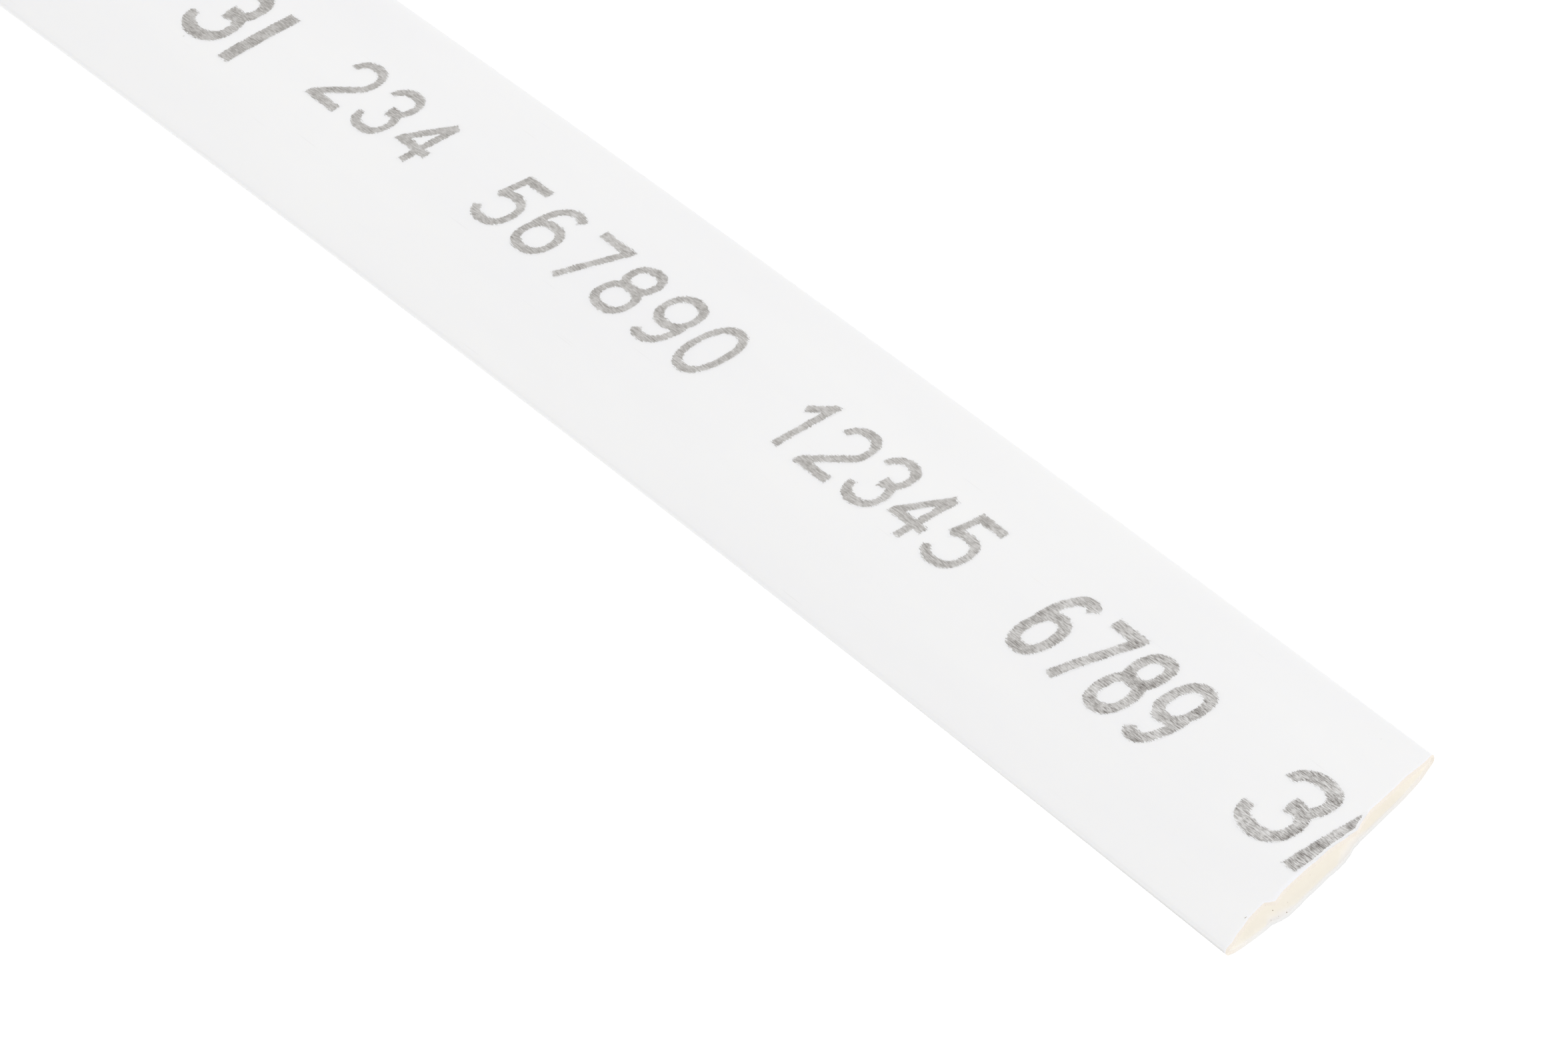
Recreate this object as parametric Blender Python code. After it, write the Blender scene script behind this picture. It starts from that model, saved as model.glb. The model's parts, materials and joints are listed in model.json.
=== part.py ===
"""Flat-laid heat shrink tube: one metre of thin extruded polyolefin, cut at its near end with scissors.

The tube lies along X with its cut end at +X, its width along Y, and its belly on the floor at Z = 0. It keeps
a gentle bow from the reel, with its middle towards +Y. The origin is at floor level, in the middle of its box.
"""
import math

import bmesh
import bpy
from mathutils import Matrix, Vector

MM = 0.001

# Driving sizes of the stock
LENGTH = 1000 * MM  # along the middle of the tube
BORE = 10.5 * MM  # inside diameter of the tube as supplied, if it were round
WALL = 0.25 * MM

# How the tube was pressed flat on its reel
OPEN_HEIGHT = 1.4 * MM  # gap between the two walls where the tube stands open most
FOLD_BORE_RADIUS = 0.15 * MM  # inside radius of the two lengthwise folds
REST_WIDTH = 6 * MM  # flat strip of the belly that the tube lies on
CROWN_SHIFT = -1.5 * MM  # the tube stands open most a little to one side of its middle

# How it bows over its length, from having been wound on a reel
BOW_RADIUS = 4500 * MM

# The scissors cut at the near end
CUT_LEAN = math.radians(15)  # the cut runs back towards the fold at +Y
BITE_RAMP = 0.3 * MM  # width of the small step between two bites of the scissors
BITES = (
    (0.00, -0.20 * MM),
    (0.20, 0.20 * MM),
    (0.57, 0.00 * MM),
)  # where each bite starts, as a share of the width, and how far it stands forward

# How finely each arc of the outline, the belly and the bow are divided
CROWN_STEPS = 16
FOLD_STEPS = 6
FLANK_STEPS = 8
BELLY_STEPS = 12
BOW_STEPS = 14

FOLD_RADIUS = FOLD_BORE_RADIUS + WALL
HEIGHT = OPEN_HEIGHT + 2 * WALL
FOLD_LEVEL = HEIGHT / 2

COLOUR = (0.88, 0.88, 0.87, 1.0)
ROUGHNESS = 0.45


def clear_scene():
    for thing in list(bpy.data.objects):
        bpy.data.objects.remove(thing, do_unlink=True)


def arc_radius(run, rise):
    """Radius of an arc that leaves level ground and meets the fold's own round after this run and rise."""
    return (run**2 + rise**2 - FOLD_RADIUS**2) / (2 * (rise - FOLD_RADIUS))


def side_arcs(width, side):
    """One side's arcs from the belly up to the crown, each as (centre, radius, start and end angle, steps)."""
    fold_y = side * (width / 2 - FOLD_RADIUS)
    rest_edge_y = CROWN_SHIFT + side * REST_WIDTH / 2
    flank = arc_radius(abs(fold_y - rest_edge_y), FOLD_LEVEL)
    crown = arc_radius(abs(fold_y - CROWN_SHIFT), HEIGHT - FOLD_LEVEL)
    flank_turn = math.asin(abs(fold_y - rest_edge_y) / (flank - FOLD_RADIUS))
    crown_turn = math.asin(abs(fold_y - CROWN_SHIFT) / (crown - FOLD_RADIUS))
    down = -math.pi / 2
    up = math.pi / 2
    return (
        ((rest_edge_y, flank), flank, down, down + flank_turn, FLANK_STEPS),
        ((fold_y, FOLD_LEVEL), FOLD_RADIUS, down + flank_turn, up - crown_turn, FOLD_STEPS),
        ((CROWN_SHIFT, HEIGHT - crown), crown, up - crown_turn, up, CROWN_STEPS),
    )


def middle_of_wall_girth(width):
    """Length round the section, along the middle of the wall."""
    turns = [arc for side in (1, -1) for arc in side_arcs(width, side)]
    return REST_WIDTH + sum((radius - WALL / 2) * (end - start) for _, radius, start, end, _ in turns)


def laid_flat_width():
    """The width whose girth is that of the round tube: pressing it flat doesn't stretch the wall."""
    round_girth = math.pi * (BORE + WALL)
    low, high = round_girth / 4, round_girth / 2 + 2 * FOLD_RADIUS
    for _ in range(60):
        middle = (low + high) / 2
        if middle_of_wall_girth(middle) < round_girth:
            low = middle
        else:
            high = middle
    return (low + high) / 2


WIDTH = laid_flat_width()


def side_points(side):
    """Outline points of one side as (y, z), from the belly's edge up round the fold to the crown."""
    points = []
    for (centre_y, centre_z), radius, start, end, steps in side_arcs(WIDTH, side):
        for step in range(steps):
            angle = start + (end - start) * step / steps
            points.append((centre_y + side * radius * math.cos(angle), centre_z + radius * math.sin(angle)))
    return points


def outline():
    """The section's outer outline, once round: belly, +Y side, crown, -Y side."""
    edge = REST_WIDTH / 2
    belly = [(CROWN_SHIFT - edge + REST_WIDTH * step / BELLY_STEPS, 0.0) for step in range(1, BELLY_STEPS)]
    crown = [(CROWN_SHIFT, HEIGHT)]
    return belly + side_points(1) + crown + side_points(-1)[::-1]


def cut_setback(y):
    """How far forward the cut reaches at this place across the width."""
    across = y + WIDTH / 2
    forward = BITES[0][1]
    for (_, before), (share, after) in zip(BITES, BITES[1:]):
        ramp = (across - share * WIDTH) / BITE_RAMP
        forward += (after - before) * min(max(ramp, 0.0), 1.0)
    return forward - across * math.tan(CUT_LEAN)


def spin_skin():
    """Outer skin of the tube: the outline swept along the bow, with its near ring trimmed to the scissors cut."""
    bm = bmesh.new()
    bow_centre = (0, -BOW_RADIUS, 0)
    bow_turn = LENGTH / BOW_RADIUS
    ring = [bm.verts.new((0, y, z)) for y, z in outline()]
    edges = [bm.edges.new(pair) for pair in zip(ring, ring[1:] + ring[:1])]
    to_far_end = Matrix.Rotation(bow_turn / 2, 3, "Z")
    bmesh.ops.rotate(bm, verts=ring, cent=bow_centre, matrix=to_far_end)
    swept = bmesh.ops.spin(
        bm, geom=ring + edges, cent=bow_centre, axis=(0, 0, -1), angle=bow_turn, steps=BOW_STEPS
    )
    near_ring = [part for part in swept["geom_last"] if isinstance(part, bmesh.types.BMVert)]
    trim_to_cut(near_ring, bow_turn / 2)
    mesh = bpy.data.meshes.new("tube")
    bm.to_mesh(mesh)
    bm.free()
    return mesh


def trim_to_cut(ring, turn):
    """Slides each vertex of the near ring back along the tube, to where the scissors went through the wall."""
    forward = Vector((math.cos(turn), -math.sin(turn), 0))
    across = Vector((math.sin(turn), math.cos(turn), 0))
    middle = across * BOW_RADIUS + Vector((0, -BOW_RADIUS, 0))
    setbacks = [cut_setback((vertex.co - middle).dot(across)) for vertex in ring]
    foremost = max(setbacks)
    for vertex, setback in zip(ring, setbacks):
        vertex.co += forward * (setback - foremost)


def centre_on_floor(mesh):
    """Moves the mesh so that the origin is in the middle of its box in plan."""
    xs = [vertex.co.x for vertex in mesh.vertices]
    ys = [vertex.co.y for vertex in mesh.vertices]
    middle = ((min(xs) + max(xs)) / 2, (min(ys) + max(ys)) / 2, 0)
    mesh.transform(Matrix.Translation(-Vector(middle)))


def polyolefin():
    """Soft white polyolefin with an even satin face."""
    material = bpy.data.materials.new("white_polyolefin")
    material.use_nodes = True
    shader = material.node_tree.nodes["Principled BSDF"]
    shader.inputs["Base Color"].default_value = COLOUR
    shader.inputs["Roughness"].default_value = ROUGHNESS
    return material


def make_tube():
    mesh = spin_skin()
    centre_on_floor(mesh)
    mesh.materials.append(polyolefin())
    mesh.shade_smooth()
    mesh.set_sharp_from_angle(angle=math.radians(40))
    tube = bpy.data.objects.new("tube", mesh)
    bpy.context.collection.objects.link(tube)
    wall = tube.modifiers.new("wall", "SOLIDIFY")
    wall.thickness = WALL
    wall.offset = -1.0
    wall.use_even_offset = True
    wall.use_rim = True
    return tube


clear_scene()
make_tube()
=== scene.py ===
import json
import math

import bpy
import numpy as np
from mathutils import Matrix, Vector, geometry, noise

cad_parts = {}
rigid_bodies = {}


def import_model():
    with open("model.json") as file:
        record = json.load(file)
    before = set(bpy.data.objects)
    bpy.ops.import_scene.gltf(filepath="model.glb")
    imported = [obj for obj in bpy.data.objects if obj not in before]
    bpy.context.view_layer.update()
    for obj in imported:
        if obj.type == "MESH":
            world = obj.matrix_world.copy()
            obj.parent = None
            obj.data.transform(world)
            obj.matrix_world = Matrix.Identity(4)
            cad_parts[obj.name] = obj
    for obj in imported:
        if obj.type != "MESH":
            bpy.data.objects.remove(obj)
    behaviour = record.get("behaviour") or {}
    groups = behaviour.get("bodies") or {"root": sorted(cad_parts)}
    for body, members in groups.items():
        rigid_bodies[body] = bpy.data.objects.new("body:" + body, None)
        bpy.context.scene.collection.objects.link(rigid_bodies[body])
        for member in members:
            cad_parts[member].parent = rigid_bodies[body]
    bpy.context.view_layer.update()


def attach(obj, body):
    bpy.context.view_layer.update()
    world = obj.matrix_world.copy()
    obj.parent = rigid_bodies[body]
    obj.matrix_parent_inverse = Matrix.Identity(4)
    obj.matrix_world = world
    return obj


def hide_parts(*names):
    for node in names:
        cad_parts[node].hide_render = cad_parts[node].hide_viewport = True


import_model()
MM = 0.001

# Camera
# A long lens looks down on the cut end from in front of it and from its -Y side, rolled a little, so that
# the tube runs out of the picture at the upper left.
camera_data = bpy.data.cameras.new("camera")
camera_data.sensor_width = 36
camera_data.lens = 214.286
camera = bpy.data.objects.new("camera", camera_data)
camera.location = (814.560 * MM, -216.137 * MM, 307.722 * MM)
camera.rotation_euler = [math.radians(angle) for angle in (52.5148, 13.0666, 51.0051)]
bpy.context.scene.collection.objects.link(camera)
bpy.context.scene.camera = camera

# Shrink tube
# One length of white polyolefin, extruded as a tube, stretched, and pressed flat on its reel, so that it
# keeps two lengthwise folds, a slight bow and a mouth that stands open. Scissors cut it at a slant.
LENGTH = 999.9 * MM  # a hair under the solid's
WALL = 0.25 * MM
WIDTH = 16.7515 * MM  # the solid's, which follows from its girth
FOLD_RADIUS = 0.28 * MM
FOLD_LEVEL = 0.95 * MM
CROWN_LEVEL = 1.87 * MM  # a hair under the solid's, which leaves room for the foil
REST_WIDTH = 6 * MM
CROWN_SHIFT = -1.5 * MM
BOW_RADIUS = 4500 * MM
BOW_CENTRE = (0.929 * MM, 13.849 * MM - BOW_RADIUS)
HALF_TURN = 500 * MM / BOW_RADIUS  # the bow turns this far each way from its middle
SHRINK_BACK = 12 * MM  # the slant of the cut fades out over this length
WAVE_DEPTH = 0.03 * MM  # how far the crown sags between its waves
FINE = 5  # the mesh is this many times finer round the cut end
BELLY_STEPS = 10
FLANK_STEPS = 10
FOLD_STEPS = 8
CROWN_STEPS = 16

# How far each lip of the cut stands back from the tip, as (distance from the -Y fold, distance back) in mm.
UPPER_LIP = (
    (0.0, 0.03), (0.6, 0.14), (1.0, 0.35), (1.5, 0.50), (2.1, 0.76), (2.7, 0.89), (3.35, 0.99),
    (3.55, 0.79), (3.77, 0.60), (4.0, 0.72), (4.25, 0.83), (4.6, 0.94), (5.0, 1.03), (5.5, 1.14),
    (6.0, 1.25), (6.5, 1.37), (7.0, 1.43), (7.5, 1.57), (8.0, 1.70), (8.5, 1.75), (9.0, 1.78),
    (9.5, 1.85), (10.0, 1.90), (10.5, 2.24), (11.0, 2.53), (11.5, 2.81), (12.0, 2.95), (12.5, 3.11),
    (13.0, 3.28), (13.5, 3.44), (14.0, 3.65), (14.5, 3.84), (15.0, 3.96), (15.5, 4.10), (16.0, 4.25),
    (16.75, 4.60),
)
LOWER_LIP = (
    (0.0, 0.03), (0.6, 0.15), (1.0, 0.30), (1.5, 0.48), (2.0, 0.64), (2.5, 0.79), (3.05, 0.93),
    (3.45, 1.06), (4.0, 0.96), (4.5, 0.96), (5.0, 1.10), (5.5, 1.25), (6.0, 1.43), (6.5, 1.53),
    (7.0, 1.68), (7.5, 1.84), (8.0, 1.95), (8.5, 2.06), (9.0, 2.21), (9.5, 2.46), (10.0, 2.78),
    (10.5, 2.97), (11.0, 3.10), (11.5, 3.22), (12.0, 3.34), (12.5, 3.44), (13.0, 3.55), (13.5, 3.64),
    (14.0, 3.74), (14.5, 3.85), (15.0, 3.97), (15.5, 4.11), (16.0, 4.31), (16.3, 4.42), (16.75, 4.60),
)
# How rough the cut is across the width, as (distance from the -Y fold, size of its teeth) in mm.
ROUGHNESS_OF_CUT = (
    (0.0, 0.01), (3.0, 0.03), (3.6, 0.05), (5.0, 0.02), (7.5, 0.04), (8.8, 0.06), (10.6, 0.05),
    (11.4, 0.02), (16.75, 0.01),
)
# How far behind the cut the scissors bruised the film white, on the upper film and inside the lower wall,
# as (distance from the -Y fold, distance behind the cut) in mm.
UPPER_BRUISE = (
    (0.0, 0.10), (3.0, 0.14), (4.5, 0.28), (8.0, 0.32), (8.7, 0.45), (10.3, 0.40), (11.2, 0.14),
    (16.75, 0.10),
)
LOWER_BRUISE = (
    (0.0, 0.03), (3.1, 0.06), (3.6, 0.50), (4.5, 0.45), (5.2, 0.10), (8.5, 0.08), (9.2, 0.55),
    (10.2, 0.50), (11.2, 0.10), (16.75, 0.03),
)


def arc_radius(run, rise):
    """Radius of an arc that leaves level ground and meets the fold's own round after this run and rise."""
    return (run**2 + rise**2 - FOLD_RADIUS**2) / (2 * (rise - FOLD_RADIUS))


def side_of_section(side, fineness):
    """Points up one side, from the belly's edge to under the crown, each with the way its skin faces."""
    fold_y = side * (WIDTH / 2 - FOLD_RADIUS)
    rest_y = CROWN_SHIFT + side * REST_WIDTH / 2
    flank = arc_radius(abs(fold_y - rest_y), FOLD_LEVEL)
    crown = arc_radius(abs(fold_y - CROWN_SHIFT), CROWN_LEVEL - FOLD_LEVEL)
    flank_turn = math.asin(abs(fold_y - rest_y) / (flank - FOLD_RADIUS))
    crown_turn = math.asin(abs(fold_y - CROWN_SHIFT) / (crown - FOLD_RADIUS))
    arcs = (
        ((rest_y, flank), flank, -math.pi / 2, -math.pi / 2 + flank_turn, FLANK_STEPS),
        ((fold_y, FOLD_LEVEL), FOLD_RADIUS, -math.pi / 2 + flank_turn, math.pi / 2 - crown_turn, FOLD_STEPS),
        ((CROWN_SHIFT, CROWN_LEVEL - crown), crown, math.pi / 2 - crown_turn, math.pi / 2, CROWN_STEPS),
    )
    points = []
    for (centre_y, centre_z), radius, start, end, steps in arcs:
        for step in range(steps * fineness):
            angle = start + (end - start) * step / (steps * fineness)
            facing = (side * math.cos(angle), math.sin(angle))
            points.append((centre_y + radius * facing[0], centre_z + radius * facing[1], *facing))
    return points


def section(fineness):
    """The outer outline, once round from the belly's -Y edge: across, height, and the way the skin faces."""
    steps = BELLY_STEPS * fineness
    left = CROWN_SHIFT - REST_WIDTH / 2
    belly = [(left + REST_WIDTH * step / steps, 0.0, 0.0, -1.0) for step in range(steps)]
    minus_side = side_of_section(-1, fineness)
    crown = [(CROWN_SHIFT, CROWN_LEVEL, 0.0, 1.0)]
    return np.array(belly + side_of_section(1, fineness) + crown + minus_side[:0:-1])


def lay_on_bow(back, across, height):
    """Row-frame points from a distance back along the bowed tube, a place across it and a height."""
    turn = HALF_TURN - back / BOW_RADIUS
    reach = BOW_RADIUS + across
    x = BOW_CENTRE[0] + reach * np.sin(turn)
    y = BOW_CENTRE[1] + reach * np.cos(turn)
    return np.stack([x, y, height], axis=-1)


def in_mm(table, distance):
    """Reads a table that is in millimetres at these distances in metres, and returns metres."""
    places, values = zip(*table)
    return np.interp(distance / MM, places, values) * MM


def jitter(points, size, seed):
    """Smooth noise from -1 to 1 at each of these points, with waves about as long as size."""
    return np.array([noise.noise(Vector(point) / size + Vector((seed, seed, seed))) for point in points])


def smooth(share):
    share = np.clip(share, 0, 1)
    return share * share * (3 - 2 * share)


def lip_setback(outline, inner):
    """How far the cut stands back at each point of an outline, for the outer or the inner skin."""
    from_fold = outline[:, 0] + WIDTH / 2
    upper_share = smooth((outline[:, 1] - FOLD_LEVEL) / (2 * FOLD_RADIUS) + 0.5)
    upper = in_mm(UPPER_LIP, from_fold)
    lower = in_mm(LOWER_LIP, from_fold)
    teeth = in_mm(ROUGHNESS_OF_CUT, from_fold)
    places = np.column_stack([outline[:, 0], outline[:, 1] * 6, np.zeros(len(outline))])
    rough = 0.6 * jitter(places, 0.35 * MM, 3.1) + 0.4 * jitter(places, 0.12 * MM, 7.7 + inner)
    return np.maximum(lower + (upper - lower) * upper_share + teeth * rough, 0.02 * MM)


def sag_of_crown(back, outline):
    """How far the film's long low waves let the crown down, which is nothing at the folds and at the cut."""
    upper = smooth((outline[:, 1] - 1.2 * MM) / (0.5 * MM))
    places = list(zip(back, outline[:, 0]))
    long_waves = [noise.noise(Vector((x / (38 * MM), y / (9 * MM), 0.4))) for x, y in places]
    short_waves = [noise.noise(Vector((x / (7 * MM), y / (5 * MM), 4.2))) for x, y in places]
    depth = 0.5 + 0.4 * np.array(long_waves) + 0.1 * np.array(short_waves)
    return WAVE_DEPTH * depth * upper * smooth((back - 6 * MM) / (20 * MM))


def skin_row(distance, outline, inner):
    """One row of a skin, this far behind the cut: its points, their places in the pattern, and how bruised
    they are, which is wholly over the first third of the bruise and then less and less."""
    setback = lip_setback(outline, inner) * (1 - smooth(distance / SHRINK_BACK))
    back = distance + setback
    sag = sag_of_crown(back, outline)
    depth = WALL if inner else 0.0
    across = outline[:, 0] - depth * outline[:, 2]
    height = outline[:, 1] - depth * outline[:, 3] - sag
    steps = np.hypot(*np.diff(outline[:, :2], axis=0, append=outline[:1, :2]).T)
    round_it = np.concatenate([[0], np.cumsum(steps)[:-1]])
    places = np.column_stack([back, round_it, np.full(len(back), distance)])
    margin = in_mm(LOWER_BRUISE if inner else UPPER_BRUISE, outline[:, 0] + WIDTH / 2)
    bruised = np.clip(1.3 - distance / margin, 0, 1)
    return lay_on_bow(back, across, height), places, bruised


def build_tube_mesh():
    """Both skins, ring by ring from the cut end back, with the wall's edge closed at each end. The rings lie
    closest together at the cut, 2 mm apart as far as the picture reaches, and 8 mm apart beyond."""
    fine, coarse = section(FINE), section(1)
    near_mm = (0, 0.04, 0.1, 0.2, 0.35, 0.55, 0.8, 1.1, 1.6, 2.2, 3, 4, 5.2, 6.6, 8.2, 10, 12)
    near_rows = [distance * MM for distance in near_mm]
    far_rows = [distance * MM for distance in (*range(14, 132, 2), *range(136, 996, 8))] + [LENGTH]
    points, places, bruises, faces, slots = [], [], [], [], []

    def add_row(row):
        first = len(points)
        points.extend(row[0])
        places.extend(row[1])
        bruises.extend(row[2])
        return list(range(first, len(points)))

    def add_faces(front, rear, outward, slot):
        """Faces between two rings. Where the front ring is finer, each face takes in its extra vertices."""
        ratio = len(front) // len(rear)
        for index in range(len(rear)):
            ahead = [front[(index * ratio + step) % len(front)] for step in range(ratio + 1)]
            face = ahead + [rear[(index + 1) % len(rear)], rear[index]]
            faces.append(face[::-1] if outward else face)
            slots.append(slot)

    lips = {}
    ends = {}
    for inner in (0, 1):
        rings = [add_row(skin_row(distance, fine, inner)) for distance in near_rows]
        rings += [add_row(skin_row(distance, coarse, inner)) for distance in far_rows]
        for front, rear in zip(rings, rings[1:]):
            add_faces(front, rear, not inner, inner)
        lips[inner] = rings[0]
        ends[inner] = rings[-1]

    # The cut face of the wall, between the lips of the two skins, a little uneven.
    outer_lip = np.array([points[index] for index in lips[0]])
    inner_lip = np.array([points[index] for index in lips[1]])
    ahead = lay_on_bow(0.0, 0.0, 0.0) - lay_on_bow(MM, 0.0, 0.0)
    ahead = ahead / np.linalg.norm(ahead)
    cut = [lips[0]]
    for share in (0.3, 0.7):
        bumps = 0.015 * MM * jitter(outer_lip, 0.1 * MM, 5.0 + share)
        row = outer_lip + (inner_lip - outer_lip) * share + bumps[:, None] * ahead
        cut.append(add_row((row, [places[index] for index in lips[0]], np.zeros(len(row)))))
    cut.append(lips[1])
    for front, rear in zip(cut, cut[1:]):
        for index in range(len(front)):
            after = (index + 1) % len(front)
            faces.append([front[index], front[after], rear[after], rear[index]])
            slots.append(2)
    for index in range(len(coarse)):
        after = (index + 1) % len(coarse)
        faces.append([ends[0][after], ends[0][index], ends[1][index], ends[1][after]])
        slots.append(2)

    mesh = bpy.data.meshes.new("shrink_tube")
    mesh.from_pydata([tuple(point) for point in points], [], faces)
    mesh.polygons.foreach_set("material_index", slots)
    along_round = mesh.attributes.new("along_round", "FLOAT_VECTOR", "POINT")
    along_round.data.foreach_set("vector", np.array(places, dtype=np.float32).ravel())
    bruised = mesh.attributes.new("bruised", "FLOAT", "POINT")
    bruised.data.foreach_set("value", np.array(bruises, dtype=np.float32))
    mesh.shade_smooth()
    mesh.set_sharp_from_angle(angle=math.radians(40))
    return mesh


def linear(hex_colour):
    """A colour for a shader socket from an sRGB hex value."""
    parts = [int(hex_colour[i:i + 2], 16) / 255 for i in (1, 3, 5)]
    return (*(p / 12.92 if p <= 0.04045 else ((p + 0.055) / 1.055) ** 2.4 for p in parts), 1.0)


def add_node(tree, kind, inputs=(), **settings):
    """Adds a node, sets it up, and gives each named input its value or a link."""
    node = tree.nodes.new(kind)
    for name, value in settings.items():
        setattr(node, name, value)
    for socket, value in dict(inputs).items():
        if isinstance(value, bpy.types.NodeSocket):
            tree.links.new(value, node.inputs[socket])
        else:
            node.inputs[socket].default_value = value
    return node


def surface_pattern(tree, along, across):
    """The place on the tube's own skin, stretched so that one unit is this long along and round the tube."""
    place = add_node(tree, "ShaderNodeAttribute", attribute_name="along_round")
    return add_node(
        tree, "ShaderNodeMapping", {"Vector": place.outputs["Vector"], "Scale": (1 / along, 1 / across, 1)}
    ).outputs["Vector"]


def polyolefin_film():
    """Extruded, stretched polyolefin, opaque white: a satin face with faint lines from the die along it."""
    material = bpy.data.materials.new("extruded_white_polyolefin")
    material.use_nodes = True
    tree = material.node_tree
    shader = tree.nodes["Principled BSDF"]
    clouds = add_node(
        tree, "ShaderNodeTexNoise",
        {"Vector": surface_pattern(tree, 30 * MM, 6 * MM), "Scale": 1.0, "Detail": 3.0},
    )
    tint = add_node(tree, "ShaderNodeValToRGB", {"Fac": clouds.outputs["Fac"]})
    tint.color_ramp.elements[0].position = 0.3
    tint.color_ramp.elements[0].color = linear("#f1f1f2")
    tint.color_ramp.elements[1].position = 0.7
    tint.color_ramp.elements[1].color = linear("#f4f4f4")
    # Dust that the film's static charge holds: a speck under a tenth of a millimetre every few millimetres.
    specks = add_node(
        tree, "ShaderNodeTexVoronoi",
        {"Vector": surface_pattern(tree, 3.5 * MM, 3.5 * MM), "Scale": 1.0, "Randomness": 1.0},
    )
    chosen = add_node(tree, "ShaderNodeSeparateColor", {"Color": specks.outputs["Color"]})
    near_speck = add_node(
        tree, "ShaderNodeMapRange",
        {"Value": specks.outputs["Distance"], "From Min": 0.008, "From Max": 0.026,
         "To Min": 0.4, "To Max": 0.0},
    )
    some = add_node(tree, "ShaderNodeMath", {0: chosen.outputs["Red"], 1: 0.82}, operation="GREATER_THAN")
    speck = add_node(
        tree, "ShaderNodeMath", {0: near_speck.outputs["Result"], 1: some.outputs[0]}, operation="MULTIPLY"
    )
    colour = add_node(
        tree, "ShaderNodeMix", {"Factor": speck.outputs[0], 6: tint.outputs["Color"], 7: linear("#9a9893")},
        data_type="RGBA",
    )
    # Hairline scratches, drawn out along the tube on its way through the printing wheels.
    scratches = add_node(
        tree, "ShaderNodeTexNoise",
        {"Vector": surface_pattern(tree, 5 * MM, 0.05 * MM), "Scale": 1.0, "Detail": 0.0},
    )
    hairline = add_node(
        tree, "ShaderNodeMapRange",
        {"Value": scratches.outputs["Fac"], "From Min": 0.84, "From Max": 0.90,
         "To Min": 0.0, "To Max": 0.18},
    )
    colour = add_node(
        tree, "ShaderNodeMix",
        {"Factor": hairline.outputs["Result"], 6: colour.outputs[2], 7: linear("#b4b2ae")}, data_type="RGBA",
    )
    # Painted shade on the outer half of each fold: the film is painted greyer there, most of all near the
    # cut.
    place = add_node(tree, "ShaderNodeAttribute", attribute_name="along_round")
    parts = add_node(tree, "ShaderNodeSeparateXYZ", {"Vector": place.outputs["Vector"]})
    solid = add_node(tree, "ShaderNodeTexCoord")
    level = add_node(tree, "ShaderNodeSeparateXYZ", {"Vector": solid.outputs["Object"]})
    below = add_node(
        tree, "ShaderNodeMapRange",
        {"Value": level.outputs["Z"], "From Min": 0.66 * MM, "From Max": 0.78 * MM},
    )
    above = add_node(
        tree, "ShaderNodeMapRange",
        {"Value": level.outputs["Z"], "From Min": 0.80 * MM, "From Max": 1.10 * MM,
         "To Min": 1.0, "To Max": 0.0},
    )
    fading = add_node(
        tree, "ShaderNodeMapRange",
        {"Value": parts.outputs["X"], "From Min": 5 * MM, "From Max": 50 * MM,
         "To Min": 1.0, "To Max": 0.1},
    )
    painted_fold_shade = add_node(
        tree, "ShaderNodeMath", {0: below.outputs["Result"], 1: above.outputs["Result"]},
        operation="MULTIPLY",
    )
    painted_fold_shade = add_node(
        tree, "ShaderNodeMath", {0: painted_fold_shade.outputs[0], 1: fading.outputs["Result"]}, operation="MULTIPLY"
    )
    colour = add_node(
        tree, "ShaderNodeMix", {"Factor": painted_fold_shade.outputs[0], 6: colour.outputs[2], 7: linear("#b2b1ae")},
        data_type="RGBA",
    )
    bruise = add_node(tree, "ShaderNodeAttribute", attribute_name="bruised")
    colour = add_node(
        tree, "ShaderNodeMix", {"Factor": bruise.outputs["Fac"], 6: colour.outputs[2], 7: linear("#f6f6fa")},
        data_type="RGBA",
    )
    tree.links.new(colour.outputs[2], shader.inputs["Base Color"])
    # Die lines, drawn at 0.12 mm, coarser than real so that they show, and a fine grain across them.
    lines = add_node(
        tree, "ShaderNodeTexNoise",
        {"Vector": surface_pattern(tree, 25 * MM, 0.12 * MM), "Scale": 1.0, "Detail": 2.0},
    )
    grain = add_node(
        tree, "ShaderNodeTexNoise",
        {"Vector": surface_pattern(tree, 0.2 * MM, 0.1 * MM), "Scale": 1.0, "Detail": 2.0},
    )
    satin = add_node(
        tree, "ShaderNodeMapRange",
        {"Value": lines.outputs["Fac"], "From Min": 0.3, "From Max": 0.7, "To Min": 0.36, "To Max": 0.46},
    )
    tree.links.new(satin.outputs["Result"], shader.inputs["Roughness"])
    relief = add_node(
        tree, "ShaderNodeBump", {"Strength": 0.25, "Distance": 0.004 * MM, "Height": lines.outputs["Fac"]}
    )
    relief = add_node(
        tree, "ShaderNodeBump",
        {"Strength": 0.2, "Distance": 0.002 * MM, "Height": grain.outputs["Fac"],
         "Normal": relief.outputs["Normal"]},
    )
    tree.links.new(relief.outputs["Normal"], shader.inputs["Normal"])
    shader.inputs["IOR"].default_value = 1.5
    shader.inputs["Subsurface Weight"].default_value = 0.2
    shader.inputs["Subsurface Radius"].default_value = (1.0, 0.96, 0.85)
    shader.inputs["Subsurface Scale"].default_value = 0.3 * MM
    return material


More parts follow.
